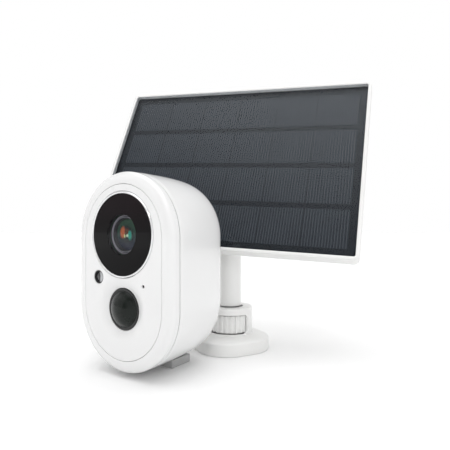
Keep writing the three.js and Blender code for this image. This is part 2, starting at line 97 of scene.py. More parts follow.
# ==== places: each part of the object has its own axes, x right, y back and z up ====
def joint(name):
    return next(j for j in frame["joints"] if j["name"] == name)


def level_place(depth):
    """Rotation whose y is depth and whose x is level."""
    right = depth.cross(Vector((0, 0, 1))).normalized()
    return Matrix((right, depth, right.cross(depth))).transposed().to_4x4()


def points_of(node, place):
    """A CAD node's vertices along a place's axes, in millimetres."""
    inverse = place.inverted()
    return [inverse @ v.co / MM for v in frame["nodes"][node].data.vertices]


def span(node, place):
    """Lowest and highest corner of a CAD node along a place's axes."""
    points = points_of(node, place)
    return tuple(Vector([pick(p[i] for p in points) for i in range(3)]) for pick in (min, max))


def middle_of(node, place):
    """Sideways and upward middle of a CAD node along a place's axes."""
    low, high = span(node, place)
    return (low.x + high.x) / 2, (low.z + high.z) / 2


def size_of(node, place):
    """Width and height of a CAD node along a place's axes."""
    low, high = span(node, place)
    return high.x - low.x, high.z - low.z


def anchored(rotation, node, share):
    """The rotation moved so that a share of the node's box along its axes becomes the origin."""
    low, high = span(node, rotation)
    point = Vector([low[i] + share[i] * (high[i] - low[i]) for i in range(3)])
    return Matrix.Translation(rotation @ (point * MM)) @ rotation


def local(place, x=0, z=0):
    """A place moved sideways and up along its own axes, in millimetres."""
    return place @ Matrix.Translation(Vector((x, 0, z)) * MM)


camera_depth = Vector(joint("memory_card_slide")["axis"]).normalized()
CAMERA = anchored(level_place(camera_depth), "front_shell", (0.5, 0, 0))
CAMERA.translation = Vector((*CAMERA.translation[:2], 0))  # its heights count from the ground
panel_depth = -Vector(joint("panel_roll")["axis"]).normalized()
PANEL = anchored(level_place(panel_depth) @ Matrix.Rotation(PANEL_ROLL, 4, "Y"), "panel_glass", (0.5, 0, 0.5))
PIN = Matrix.Translation(Vector(joint("panel_tilt")["pos_m"]))
HEAD = PIN @ level_place(panel_depth)
STAND = Matrix.Identity(4)
BASE = Matrix.Rotation(BASE_TURN, 4, "Z")
ACROSS = PIN @ Matrix.Rotation(-pi / 2, 4, "Z")  # its y runs along the tilt pin, towards +X

FRONT_LOW, FRONT_HIGH = span("front_shell", CAMERA)
FLOOR = FRONT_LOW.z  # lowest point of the camera's shells
BODY_WIDTH, BODY_HEIGHT = size_of("front_shell", CAMERA)
SEAM = FRONT_HIGH.y  # depth where the front shell ends
REAR_EDGE = SEAM + 0.4  # depth where the rear shell starts
BACK = span("rear_shell", CAMERA)[1].y


# ==== outlines and profiles ====
def rounded_rect(width, height, radius, steps=8):
    """Counter-clockwise points of a rounded rectangle about the origin."""
    points = []
    for quarter, (sx, sy) in enumerate([(1, 1), (-1, 1), (-1, -1), (1, -1)]):
        for i in range(steps + 1):
            angle = (quarter + i / steps) * pi / 2
            points.append((
                sx * (width / 2 - radius) + radius * cos(angle),
                sy * (height / 2 - radius) + radius * sin(angle),
            ))
    return points


def filleted(path, radius, steps=4, closed=False):
    """The path with rounded corners; a third number in a point is that corner's own radius."""
    out = []
    for i, point in enumerate(path):
        here = Vector(point[:2])
        own = point[2] if len(point) > 2 else radius
        if own == 0 or (not closed and i in (0, len(path) - 1)):
            out.append(tuple(here))
            continue
        before = Vector(path[i - 1][:2]) - here
        after = Vector(path[(i + 1) % len(path)][:2]) - here
        reach = min(own / tan(before.angle(after) / 2), 0.48 * before.length, 0.48 * after.length)
        start = here + before.normalized() * reach
        end = here + after.normalized() * reach
        for step in range(steps + 1):
            t = step / steps
            out.append(tuple(start * (1 - t) ** 2 + here * 2 * t * (1 - t) + end * t * t))
    return out


def smoothed(path, steps=6):
    """Catmull-Rom curve through the points."""
    knots = [Vector(p) for p in path]
    knots = [2 * knots[0] - knots[1], *knots, 2 * knots[-1] - knots[-2]]
    out = []
    for a, b, c, d in zip(knots, knots[1:], knots[2:], knots[3:]):
        for step in range(steps):
            t = step / steps
            out.append(tuple(0.5 * (2 * b + (c - a) * t + (2 * a - 5 * b + 4 * c - d) * t ** 2
                                    + (3 * b - a - 3 * c + d) * t ** 3)))
    return out + [tuple(knots[-2])]


# ==== mesh building: everything here is in millimetres ====
def mesh_of(bm, name):
    """The work mesh as a finished one."""
    mesh = bpy.data.meshes.new(name)
    bm.to_mesh(mesh)
    bm.free()
    return mesh


def placed(name, data):
    """A new object in the scene."""
    made = bpy.data.objects.new(name, data)
    bpy.context.scene.collection.objects.link(made)
    return made


def loft(rings, closed=False):
    """A closed mesh through rings of equal count; a ring of one point closes to it."""
    bm = bmesh.new()
    rows = [[bm.verts.new(p) for p in ring] for ring in rings]
    for a, b in list(zip(rows, rows[1:])) + ([(rows[-1], rows[0])] if closed else []):
        count = max(len(a), len(b))
        for i in range(count):
            j = (i + 1) % count
            if len(a) == 1:
                bm.faces.new((a[0], b[j], b[i]))
            elif len(b) == 1:
                bm.faces.new((a[i], a[j], b[0]))
            else:
                bm.faces.new((a[i], a[j], b[j], b[i]))
    if not closed:
        for ring in (rows[0], rows[-1]):
            if len(ring) > 2:
                bm.faces.new(ring)
    bmesh.ops.recalc_face_normals(bm, faces=bm.faces)
    return mesh_of(bm, "lofted")


def circle(reach, level, count, x=0, z=0, vertical=False):
    """Points round the depth or the vertical axis; reach is a radius, or gives one from the angle."""
    points = []
    for i in range(count):
        angle = TURN * i / count
        radius = reach(angle) if callable(reach) else reach
        a, b = x + radius * cos(angle), z + radius * sin(angle)
        points.append(Vector((a, b, level)) if vertical else Vector((a, level, b)))
    return points


def turned(profile, segments=96, x=0, z=0, closed=False):
    """Turned about the depth axis: profile points are (radius, depth)."""
    rings = [circle(radius, depth, segments if radius > 1e-6 else 1, x, z) for radius, depth in profile]
    return loft(rings, closed)


def upright(profile, segments=96, closed=False):
    """Turned about the vertical axis: profile points are (radius, height)."""
    mesh = turned(profile, segments, closed=closed)
    mesh.transform(Matrix.Rotation(pi / 2, 4, "X"))
    return mesh


def stack(outline, levels, closed=False, vertical=False):
    """One outline per level: outline(inset) gives flat points and levels are (inset, depth or height)."""
    rings = []
    for inset, level in levels:
        points = outline(inset)
        rings.append([Vector((a, b, level)) if vertical else Vector((a, level, b)) for a, b in points])
    return loft(rings, closed)


def slab(outline, low, high, edge, vertical=False):
    """A plate with rounded edges all round."""
    path = filleted([(edge * 2, low), (0, low), (0, high), (edge * 2, high)], edge)
    return stack(outline, path, vertical=vertical)


def rect_outline(width, height, radius, steps=8, x=0, z=0):
    def outline(inset):
        size = (width - 2 * inset, height - 2 * inset)
        return [(x + a, z + b) for a, b in rounded_rect(*size, max(radius - inset, 0.01), steps)]
    return outline


def pill_outline(inset):
    width = BODY_WIDTH - 2 * inset
    points = rounded_rect(width, BODY_HEIGHT - 2 * inset, width / 2 - 0.01, 32)
    return [(a, b + FLOOR + BODY_HEIGHT / 2) for a, b in points]


def square_outline(inset):
    side = BASE_SIDE - 2 * inset
    return rounded_rect(side, side, BASE_CORNER - inset * 0.9, 14)


def block(low, high, edge=0.3):
    """A box with rounded edges."""
    low, high = Vector(low), Vector(high)
    size = high - low
    middle = (low + high) / 2
    edge = min(edge, 0.12 * min(size.x, size.z), 0.3 * size.y)
    return slab(rect_outline(size.x, size.z, edge * 1.5, 3, middle.x, middle.z), low.y, high.y, edge)


def combined(mesh, tools, operation):
    body = placed("temporary", mesh)
    helpers = [placed("temporary", tool) for tool in tools]
    for helper in helpers:
        step = body.modifiers.new("step", "BOOLEAN")
        step.operation = operation
        step.solver = "EXACT"
        step.object = helper
    depsgraph = bpy.context.evaluated_depsgraph_get()
    result = bpy.data.meshes.new_from_object(body.evaluated_get(depsgraph))
    for used in [body, *helpers]:
        bpy.data.objects.remove(used)
    return result


def cut(mesh, *tools):
    return combined(mesh, tools, "DIFFERENCE")


def join(mesh, *tools):
    return combined(mesh, tools, "UNION")


def moved(mesh, x=0, y=0, z=0):
    mesh.transform(Matrix.Translation(Vector((x, y, z))))
    return mesh


def hole(radius, surface, far, x=0, z=0, flare=0.3, segments=64):
    """Cutter for a round hole whose mouth, on the surface at that depth, is rounded."""
    side = 1 if far > surface else -1
    mouth = radius + flare
    lip = [(mouth - flare * sin(angle), surface + side * flare * (1 - cos(angle)))
           for angle in (step * pi / 8 for step in range(1, 5))]
    path = [(0, surface - side), (mouth, surface - side), (mouth, surface), *lip, (radius, far), (0, far)]
    return turned(path, segments, x, z)


def cross_pin(radius, low, high, segments=48, edge=0):
    """A pin along x through the origin."""
    mesh = turned(filleted([(0, low), (radius, low), (radius, high), (0, high)], edge), segments)
    mesh.transform(Matrix.Rotation(-pi / 2, 4, "Z"))
    return mesh


def mark_edges(mesh, angle):
    """Smooth shading with creases where faces meet at more than the angle."""
    bm = bmesh.new()
    bm.from_mesh(mesh)
    bmesh.ops.remove_doubles(bm, verts=bm.verts, dist=0.00002)
    for face in bm.faces:
        face.smooth = True
    for edge in bm.edges:
        edge.smooth = not (len(edge.link_faces) == 2 and edge.calc_face_angle(0) > angle)
    bm.to_mesh(mesh)
    bm.free()


def piece(name, mesh, place, body, materials, slot, stands_for=(), bevel=0.0, crease=32, pick=None):
    """A finished piece: pick(centre) gives the material number of a face, in millimetres."""
    mark_edges(mesh, radians(crease))
    materials = materials if isinstance(materials, (list, tuple)) else [materials]
    for material in materials:
        mesh.materials.append(material)
    if pick:
        for face in mesh.polygons:
            face.material_index = pick(face.center)
    mesh.transform(Matrix.Scale(MM, 4))
    made = placed(name, mesh)
    made.matrix_world = place
    if bevel:
        rounding = made.modifiers.new("rounding", "BEVEL")
        rounding.width = bevel * MM
        rounding.segments = 3
        rounding.limit_method = "ANGLE"
        rounding.angle_limit = radians(crease)
        rounding.use_clamp_overlap = True
    shading = made.modifiers.new("shading", "WEIGHTED_NORMAL")
    shading.keep_sharp = True
    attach(made, body)
    if stands_for:
        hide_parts(*([stands_for] if isinstance(stands_for, str) else stands_for))
    return made


def shaped(name, place, body, materials, slot, node, **finish):
    """Makes the piece for a CAD node; the function below gets that node's corners if it takes them."""
    def build(shape):
        corners = span(node, place)[:shape.__code__.co_argcount]
        return piece(name, shape(*corners), place, body, materials, slot, node, **finish)
    return build


def within(radius):
    """Picks the second material for faces this near to the depth axis."""
    return lambda centre: int(hypot(centre.x, centre.z) < radius)


# ==== materials ====
WIDE = (0.2, 0.8)  # nearly all of a noise's range


class Nodes:
    """A node tree with a short call that makes a node and feeds its inputs."""

    def __init__(self, tree):
        self.tree = tree

    def node(self, kind, inputs=None, **settings):
        made = self.tree.nodes.new("ShaderNode" + kind)
        for key, value in settings.items():
            setattr(made, key, value)
        for key, value in (inputs or {}).items():
            self.feed(made.inputs[key], value)
        return made

    def feed(self, socket, value):
        if isinstance(value, bpy.types.NodeSocket):
            self.tree.links.new(value, socket)
        else:
            socket.default_value = value


class Surface(Nodes):
    """A Principled shader with short calls for the nodes that drive it. Lengths are millimetres."""

    def __init__(self, name, **sockets):
        self.material = bpy.data.materials.new(name)
        self.material.use_nodes = True
        super().__init__(self.material.node_tree)
        self.shader = self.tree.nodes["Principled BSDF"]
        for socket, value in sockets.items():
            self.shader.inputs[socket.replace("_", " ")].default_value = value
        self.coords = self.node("TexCoord").outputs["Object"]

    def place(self, stretch=(1, 1, 1), shift=(0, 0, 0)):
        return self.node("Mapping", {
            "Vector": self.coords, "Scale": stretch, "Location": shift}).outputs[0]

    def noise(self, size, detail=2, vector=None, seed=0.0):
        vector = vector or (self.place(shift=(seed, seed, seed)) if seed else self.coords)
        return self.node("TexNoise", {
            "Vector": vector, "Scale": 1 / (size * MM), "Detail": detail}).outputs["Fac"]

    def span(self, value, low, high, to_low=0.0, to_high=1.0, smooth=False):
        return self.node("MapRange", {
            "Value": value, "From Min": low, "From Max": high, "To Min": to_low, "To Max": to_high,
        }, interpolation_type="SMOOTHSTEP" if smooth else "LINEAR").outputs[0]

    def math(self, operation, a, b=0.0):
        return self.node("Math", {0: a, 1: b}, operation=operation).outputs[0]

    def times(self, a, b):
        return self.math("MULTIPLY", a, b)

    def plus(self, a, b):
        return self.math("ADD", a, b)

    def length(self, x, z):
        return self.math("SQRT", self.plus(self.times(x, x), self.times(z, z)))

    def mix(self, factor, a, b):
        mixer = self.node("Mix", {0: factor}, data_type="RGBA")
        self.feed(mixer.inputs[6], a if isinstance(a, bpy.types.NodeSocket) else (*a, 1))
        self.feed(mixer.inputs[7], b if isinstance(b, bpy.types.NodeSocket) else (*b, 1))
        return mixer.outputs[2]

    def axes(self):
        split = self.node("SeparateXYZ", {0: self.coords})
        return [self.times(out, 1 / MM) for out in split.outputs]

    def bump(self, height, depth, under=None):
        settings = {"Height": height, "Distance": depth * MM, "Strength": 1.0}
        if under:
            settings["Normal"] = under
        return self.node("Bump", settings).outputs[0]

    def drift(self, size, detail=2, low=0.0, high=1.0, edges=(0.3, 0.7), seed=0.0):
        """Noise of a size, the range between its edges spread between two levels."""
        return self.span(self.noise(size, detail, seed=seed), *edges, low, high)

    def finish(self, colour, roughness, normal):
        for socket, value in (("Base Color", colour), ("Roughness", roughness), ("Normal", normal)):
            self.feed(self.shader.inputs[socket], value)
        return self.material


def shade(colour, factor):
    return tuple(min(c * factor, 1.0) for c in colour)


def moulded(name, colour, roughness, grain=0.35, relief=0.004, mottle=0.02, wear=0.3, **sockets):
    """Moulded plastic or rubber: spark-eroded grain, faint flow mottling, a few fine scuffs."""
    s = Surface(name, **sockets)
    scuffs = s.span(s.noise(2.2, 4, s.place(stretch=(1, 1, 6), shift=(0.7, 0.2, 0))), 0.66, 0.74)
    worn = s.times(s.times(scuffs, wear), s.drift(18, 1, edges=(0.5, 0.65), seed=0.5))
    tone = s.mix(s.drift(22, edges=WIDE), shade(colour, 1 - mottle), colour)
    smear = s.drift(9, 1, roughness * 0.9, roughness * 1.12, WIDE, seed=0.3)
    wide = s.bump(s.noise(6, 1, seed=0.1), relief * 1.5)
    return s.finish(
        s.mix(s.times(worn, 0.2), tone, shade(colour, 0.85)),
        s.plus(smear, s.times(worn, 0.3)),
        s.bump(s.noise(grain), relief, wide),
    )


def worked_metal(name, colour, roughness, scratch=(1, 1, 14), relief=0.003, tarnish=0.12):
    """Turned or plated metal with fine tool lines along its slow axis."""
    s = Surface(name, Metallic=1.0)
    lines = s.noise(0.5, 3, s.place(stretch=scratch))
    return s.finish(
        s.mix(s.drift(4, 4, edges=(0.35, 0.75), seed=0.2), colour, shade(colour, 1 - tarnish)),
        s.span(lines, 0.25, 0.75, roughness * 0.75, roughness * 1.3),
        s.bump(lines, relief),
    )


def circuit_board(name):
    """Green solder mask over tracks, with tinned pads."""
    s = Surface(name, Coat_Weight=0.4, Coat_Roughness=0.15)
    tracks = s.node("TexBrick", {
        "Vector": s.place(stretch=(1, 0.2, 1)), "Scale": 1 / (9 * MM), "Mortar Size": 0.03,
        "Color1": (0, 0, 0, 1), "Color2": (0, 0, 0, 1), "Mortar": (1, 1, 1, 1),
        "Brick Width": 0.42, "Row Height": 0.16}).outputs["Fac"]
    spots = s.node("TexVoronoi", {"Vector": s.coords, "Scale": 1 / (2.6 * MM)})
    pads = s.span(spots.outputs["Distance"], 0.13, 0.16, 1, 0)
    mask = s.mix(s.noise(5, 3), (0.012, 0.09, 0.035), (0.02, 0.13, 0.05))
    tracked = s.mix(tracks, mask, (0.05, 0.24, 0.1))
    return s.finish(
        s.mix(pads, tracked, (0.62, 0.6, 0.55)),
        s.drift(2, 3, 0.28, 0.42),
        s.bump(s.plus(tracks, pads), 0.03),
    )


def clear_coated(name, tint, head_on):
    """Thin clear glass: what is behind shows through, with the mirror of its polished face."""
    s = Surface(name)
    facing = s.node("LayerWeight", {"Blend": 0.5}).outputs["Facing"]
    mirror = s.plus(s.math("POWER", facing, 5), head_on)
    clear = s.node("BsdfTransparent", {"Color": (*tint, 1)})
    shine = s.node("BsdfGlossy", {"Color": (0.9, 0.92, 0.95, 1), "Roughness": 0.05})
    mixer = s.node("MixShader", {0: mirror, 1: clear.outputs[0], 2: shine.outputs[0]})
    s.feed(s.tree.nodes["Material Output"].inputs[0], mixer.outputs[0])
    s.tree.nodes.remove(s.shader)
    return s.material


def window_print():
    """Black print behind the polished window, with a faint plum painted sheen that grows towards its top."""
    s = Surface("window_print", Coat_Weight=0.12, Coat_Roughness=0.03, Coat_IOR=1.5, Specular_IOR_Level=0.05)
    _, _, height = s.axes()
    # painted sheen: a plum tint that rises towards the top of the window
    cast = s.times(s.span(height, -4, 17, smooth=True), s.drift(16, 2, 0.6, 1.0, WIDE))
    return s.finish(
        s.mix(cast, (0.0012, 0.0010, 0.0014), (0.009, 0.005, 0.0065)),
        s.drift(12, 3, 0.1, 0.2),
        s.bump(s.noise(9, 1), 0.001),
    )


def lens_coating():
    """Coated front element whose colours are painted reflections: green above, blue below, orange and teal
    painted reflections and two pale painted highlights in the middle.
    """
    s = Surface("lens_coating", Coat_Weight=0.07, Coat_Roughness=0.03, Specular_IOR_Level=0.05)
    x, _, z = s.axes()
    ripple = s.times(s.noise(2.4), 0.16)

    # a soft-edged painted spot on the lens face
    def ghost(cx, cz, wide, tall):
        across = s.math("DIVIDE", s.math("SUBTRACT", x, cx), wide)
        up = s.math("DIVIDE", s.math("SUBTRACT", z, cz), tall)
        return s.span(s.plus(s.length(across, up), ripple), 1.45, 0.75, smooth=True)

    # painted reflection: green above, fading to dark blue below
    tone = s.mix(s.span(z, -5.5, 4.5, smooth=True), (0.006, 0.010, 0.028), (0.028, 0.085, 0.045))
    # painted spots: a darker middle, orange, brown and teal painted reflections, and two pale painted
    # highlights
    for spot, colour in (
        ((0.4, 0.2, 4.0, 4.1), (0.010, 0.014, 0.012)),
        ((-1.9, 1.0, 1.7, 2.5), (0.50, 0.12, 0.035)),
        ((0.9, 1.3, 1.2, 1.6), (0.10, 0.035, 0.012)),
        ((2.7, -0.3, 1.0, 2.0), (0.02, 0.33, 0.22)),
        ((-0.4, -0.7, 0.55, 0.8), (0.55, 0.60, 0.25)),
        ((1.3, -0.5, 0.6, 0.65), (0.60, 0.75, 0.50)),
    ):
        tone = s.mix(ghost(*spot), tone, colour)
    return s.finish(tone, s.drift(3, 2, 0.12, 0.2), s.bump(s.noise(4, 1), 0.002))


def sensor_lens():
    """Dark moulded lens with a pale crescent on its right side, a painted highlight."""
    s = Surface("sensor_lens", Coat_Weight=0.4, Coat_Roughness=0.05)
    x, _, z = s.axes()
    # painted highlight: a pale crescent on the lens's right side
    reach = s.length(s.math("SUBTRACT", x, -1.1), s.times(z, 0.8))
    well = s.times(s.span(reach, 1.9, 2.3, smooth=True), s.drift(1.5, 2, 0.7, 1.0, WIDE))
    tone = s.mix(well, (0.012, 0.012, 0.014), (0.62, 0.63, 0.65))
    return s.finish(tone, s.drift(1.5, 2, 0.1, 0.18), s.bump(s.noise(1, 1), 0.001))


def smoked_dome():
    """Dark green-black polythene with faint rings of the facets on its inner face."""
    s = Surface("smoked_dome", Coat_Weight=0.22, Coat_Roughness=0.08, Specular_IOR_Level=0.12)
    x, _, z = s.axes()
    rings = s.math("PINGPONG", s.length(x, z), 0.55)
    tone = s.mix(s.drift(5, 3), (0.004, 0.006, 0.005), (0.008, 0.011, 0.009))
    return s.finish(
        s.mix(s.span(rings, 0.4, 0.55, 0, 0.25), tone, (0.014, 0.019, 0.016)),
        s.drift(6, 3, 0.2, 0.3),
        s.bump(s.noise(0.5), 0.002, s.bump(rings, 0.004)),
    )


def cell_surface():
    """Slate silicon: blue-grey with soft cloudy grain, a little lighter from cell to cell."""
    s = Surface("cell_silicon", Specular_IOR_Level=0.12)
    cells = s.node("TexVoronoi", {
        "Vector": s.place(stretch=(1, 0.02, 1)), "Scale": 1 / (26 * MM), "Randomness": 0.2})
    lot = s.node("SeparateColor", {0: cells.outputs["Color"]}).outputs[0]
    tone = s.mix(s.drift(3.5, 4), (0.016, 0.020, 0.026), (0.021, 0.026, 0.033))
    return s.finish(
        s.mix(s.span(lot, 0, 1, 0, 0.4), tone, (0.025, 0.030, 0.037)),
        s.drift(3.5, 4, 0.38, 0.5),
        s.bump(s.noise(0.6), 0.003),
    )


def shrink_wrap():
    """Blue film round a battery cell, with a pale band."""
    s = Surface("cell_wrap", Coat_Weight=0.5, Coat_Roughness=0.1)
    _, _, z = s.axes()
    band = s.span(s.math("PINGPONG", s.plus(z, 4.0), 25.0), 21.5, 22.0)
    tone = s.mix(s.drift(8, 3), (0.02, 0.11, 0.30), (0.03, 0.14, 0.36))
    return s.finish(
        s.mix(band, tone, (0.6, 0.62, 0.6)), s.drift(4, 3, 0.25, 0.4), s.bump(s.noise(7), 0.03))


SHELL = (0.80, 0.80, 0.80)
shell_white = moulded(
    "shell_white", SHELL, 0.24, relief=0.0012, wear=0.01, Coat_Weight=0.5, Coat_Roughness=0.08)
face_white = moulded(
    "face_white", SHELL, 0.30, relief=0.0015, wear=0.01, Coat_Weight=0.25, Coat_Roughness=0.12)
panel_white = moulded("panel_white", (0.79, 0.79, 0.78), 0.36, relief=0.003, wear=0.08)
stand_white = moulded(
    "stand_white", (0.80, 0.80, 0.79), 0.34, relief=0.0025, wear=0.08, Coat_Weight=0.15, Coat_Roughness=0.2)
flap_white = moulded("flap_white", (0.72, 0.72, 0.71), 0.6, relief=0.005)
button_grey = moulded("button_grey", (0.36, 0.36, 0.36), 0.6, relief=0.005)
foot_grey = moulded("foot_grey", (0.42, 0.42, 0.42), 0.62, grain=0.5, relief=0.008, mottle=0.08)
seal_black = moulded("seal_black", (0.02, 0.02, 0.02), 0.6)
black_plastic = moulded("black_plastic", (0.016, 0.016, 0.018), 0.42, relief=0.003)
barrel_black = moulded("barrel_black", (0.006, 0.006, 0.007), 0.45, relief=0.002, Specular_IOR_Level=0.15)
# lighter grey on the black barrel's crests is a painted highlight; the coat is their real polish
ridge_grey = moulded("ridge_grey", (0.42, 0.42, 0.44), 0.2, relief=0.001, Coat_Weight=0.6)
dome_rim = moulded("dome_rim", (0.006, 0.006, 0.006), 0.3, relief=0.002)
led_resin = moulded("led_resin", (0.10, 0.07, 0.09), 0.12, relief=0.001, Coat_Weight=1.0)
sensor_chip = moulded("sensor_chip", (0.03, 0.04, 0.08), 0.12, relief=0.001, Coat_Weight=1.0)
backing_dark = moulded(
    "backing_dark", (0.011, 0.014, 0.018), 0.5, relief=0.002, mottle=0.15, Specular_IOR_Level=0.1)
silver_ink = moulded(
    "silver_ink", (0.070, 0.076, 0.084), 0.5, relief=0.002, mottle=0.2, Specular_IOR_Level=0.1)
ring_silver = worked_metal("ring_silver", (0.80, 0.80, 0.81), 0.16, (1, 14, 1), relief=0.0008, tarnish=0.04)
screw_steel = worked_metal("screw_steel", (0.55, 0.55, 0.56), 0.32)
sensor_can = worked_metal("sensor_can", (0.62, 0.62, 0.64), 0.25, (1, 10, 1))
insert_brass = worked_metal("insert_brass", (0.71, 0.52, 0.24), 0.28, tarnish=0.25)
board_green = circuit_board("board_green")
window_black = window_print()
window_clear = clear_coated("window_clear", (0.90, 0.90, 0.92), 0.01)
lens_clear = clear_coated("lens_clear", (0.86, 0.95, 0.92), 0.02)
panel_clear = clear_coated("panel_clear", (0.97, 0.98, 0.99), 0.014)
lens_coated = lens_coating()
sensor_dark = sensor_lens()
dome_smoked = smoked_dome()
cell_silicon = cell_surface()
wrap_blue = shrink_wrap()

# CAD nodes whose plain shape stays: each takes the material of what it is.
CARRIED = {
    seal_black: ["shell_gasket", "microphone_boot"],
    screw_steel: [*(f"shell_screw_{i}" for i in range(1, 5)), "swivel_spigot"],
    black_plastic: ["lens_holder", "battery_tray", "speaker"],
    sensor_chip: ["image_sensor"],
    board_green: ["sensor_board", "infrared_board", "main_board", "port_board", "charge_board"],
    led_resin: [f"infrared_led_{i}" for i in range(1, 5)],
    sensor_can: ["motion_sensor", "usb_socket", "card_socket"],
    insert_brass: ["panel_insert", "antenna"],
    wrap_blue: ["battery_cell_1", "battery_cell_2"],
    stand_white: ["stem_collet"],
}
for material, names in CARRIED.items():
    for name in names:
        kept = frame["nodes"][name]
        kept.data.materials.clear()
        kept.data.materials.append(material)


# ==== camera: shells ====
def rim_path():
    """From the front shell's flat band, over its rounded rim, to its side."""
    return [(RIM["reach"] * (1 - sin(angle)), RIM["depth"] * (1 - cos(angle)))
            for angle in (i / 14 * pi / 2 for i in range(15))]


@shaped("front_bezel", CAMERA, "camera", shell_white, "shell_white", "front_shell")
def front_shell():
    groove = filleted([(GROOVE, 1), (GROOVE, 0), (GROOVE - 0.6, 0)], 0.25)[1:-1]
    seam = filleted([(0, SEAM - 1), (0, SEAM), (1, SEAM)], 0.22)[1:-1]
    path = [(GROOVE, 2.3), *groove, *rim_path(), *seam, (SHELL_OPENING, SEAM), (SHELL_OPENING, 2.3)]
    screw = [(0, 1), (2.2, 1), (2.2, 3.6), (1.3, 3.6), (1.3, 7), (0, 7)]
    screws = [turned(screw, 24, *middle_of(f"shell_screw_{i}", CAMERA)) for i in range(1, 5)]
    return cut(stack(pill_outline, path, closed=True), *screws)


_, WINDOW_Z = middle_of("window_ring", CAMERA)
RING_RADIUS = size_of("window_ring", CAMERA)[0] / 2
_, PIR_Z = middle_of("motion_lens", CAMERA)
PIR_RADIUS = size_of("motion_lens", CAMERA)[0] / 2
SENSOR_AT = middle_of("light_sensor", CAMERA)
MIC_AT = middle_of("microphone_boot", CAMERA)
AT_WINDOW = local(CAMERA, z=WINDOW_Z)
AT_PIR = local(CAMERA, z=PIR_Z)


@shaped("face_panel", CAMERA, "camera", face_white, "face_white", "faceplate")
def faceplate():
    inset = GROOVE + GAP / 2
    edge = filleted([(inset + 1, 0), (inset, 0), (inset, 1)], 0.3)[1:-1]
    plate = stack(pill_outline, [*edge, (inset, FACEPLATE_THICKNESS)])
    backing = turned([(0, 1), (DISH["outer"] + 0.6, 1), (DISH["outer"] + 0.6, 2.9), (0, 2.9)], 96, z=PIR_Z)
    shallow = 0.004  # keeps the dish's edge off the plate's own face
    slope = [(DISH["outer"], -1), (DISH["outer"], shallow)]
    for t in (i / 14 for i in range(1, 15)):
        sunk = DISH["depth"] * (1 - cos(t * pi * 0.62)) / 1.37
        slope.append((DISH["outer"] + (DISH["inner"] - DISH["outer"]) * t, shallow + sunk))
    return cut(
        join(plate, backing),
        hole(RING_RADIUS + 0.12, 0, 4, 0, WINDOW_Z, 0.25, 160),
        turned([(0, -1), *slope, (DISH["inner"], 4), (0, 4)], 128, z=PIR_Z),
        hole(SENSOR_HOLE, 0, 4, *SENSOR_AT, 0.2),
        hole(MIC_HOLE, 0, 4, *MIC_AT, 0.12, 32),
    )


@shaped("rear_housing", CAMERA, "camera", shell_white, "shell_white", "rear_shell")
def rear_shell():
    first = filleted([(1, REAR_EDGE), (0.05, REAR_EDGE), (0, REAR_EDGE + 1)], 0.22)[1:-1]
    outside = [*first, *smoothed([(0.0, REAR_EDGE + 1.2), *REAR_PROFILE])]
    inside = [(inset + WALL * 1.1, depth - WALL * max(0, (depth - 20) / (BACK - 20)))
              for inset, depth in smoothed([(0.0, REAR_EDGE), *REAR_PROFILE], 3)]
    shell = stack(pill_outline, [*reversed(outside), *inside])
    _, insert_z = middle_of("mount_insert", CAMERA)
    boss = turned([(0, BACK - 8), (6, BACK - 8), (6, BACK - 1), (0, BACK - 1)], 48, 0, insert_z)
    port_size = [side + 2 * GAP for side in size_of("port_flap", CAMERA)]
    port_outline = rect_outline(*port_size, 0.5, 4, *middle_of("port_flap", CAMERA))
    mouth = filleted([(0, BACK - 1), (0, BACK), (-1, BACK)], 0.25)[1:-1]
    port = stack(port_outline, [(0, BACK - 6), *mouth, (-0.3, BACK + 1)])
    button_radius = size_of("power_button", CAMERA)[0] / 2 - 0.7 + GAP
    low, high = span("foot_pad", CAMERA)
    foot = block((low.x - 0.15, low.y - 0.15, -1), (high.x + 0.15, high.y + 0.15, FLOOR + 1.7), 0.2)
    speaker_slots = [block((4 * i - 0.7, 9, -1), (4 * i + 0.7, 15, FLOOR + 6), 0.35) for i in (-1, 0, 1)]
    return cut(
        join(shell, boss),
        hole(INSERT_HOLE, BACK, BACK - 10, 0, insert_z, 0.4),
        hole(button_radius, BACK, BACK - 6, *middle_of("power_button", CAMERA), 0.35),
        port, foot, *speaker_slots,
    )


@shaped("foot", CAMERA, "camera", foot_grey, "foot_grey", "foot_pad", crease=40)
def foot_pad(low, high):
    pad = block((low.x, low.y, 0), (high.x, high.y, high.z), 0.35)
    inside = stack(pill_outline, [(-GAP / 2, SEAM), (-GAP / 2, BACK)])
    pocket = block((low.x + 0.2, low.y + 0.2, 0.6), (high.x - 0.2, high.y - 0.2, FLOOR + 1.4), 0.2)
    grip = [block((low.x + 1.2, start, -0.6), (high.x - 1.2, start + 0.9, 0.35), 0.2)
            for start in (low.y + 1.2 + i * 2.2 for i in range(6))]
    return cut(join(cut(pad, inside), pocket), *grip)


seam_front, seam_back = SEAM + 0.03, REAR_EDGE - 0.03
seam_path = [(0.35, seam_front), (2.8, seam_front), (2.8, seam_back), (0.35, seam_back)]
seam_ring = stack(pill_outline, filleted(seam_path, 0.06, 2, closed=True), closed=True)
piece("seam_seal", seam_ring, CAMERA, "camera", seal_black, "seal_rubber")


# ==== camera: what looks out of the face ====
@shaped("window_trim", CAMERA, "camera", ring_silver, "ring_silver", "window_ring")
def window_ring(low, high):
    inner = span("window_glass", CAMERA)[1].x + 0.12
    path = filleted([
        (inner, high.y, 0), (inner, low.y + 0.35), (RING_RADIUS - 0.45, low.y, 0.3),
        (RING_RADIUS, low.y + 0.5, 0.4), (RING_RADIUS, high.y, 0)], 0.15, closed=True)
    return moved(turned(path, 192, closed=True), z=WINDOW_Z)


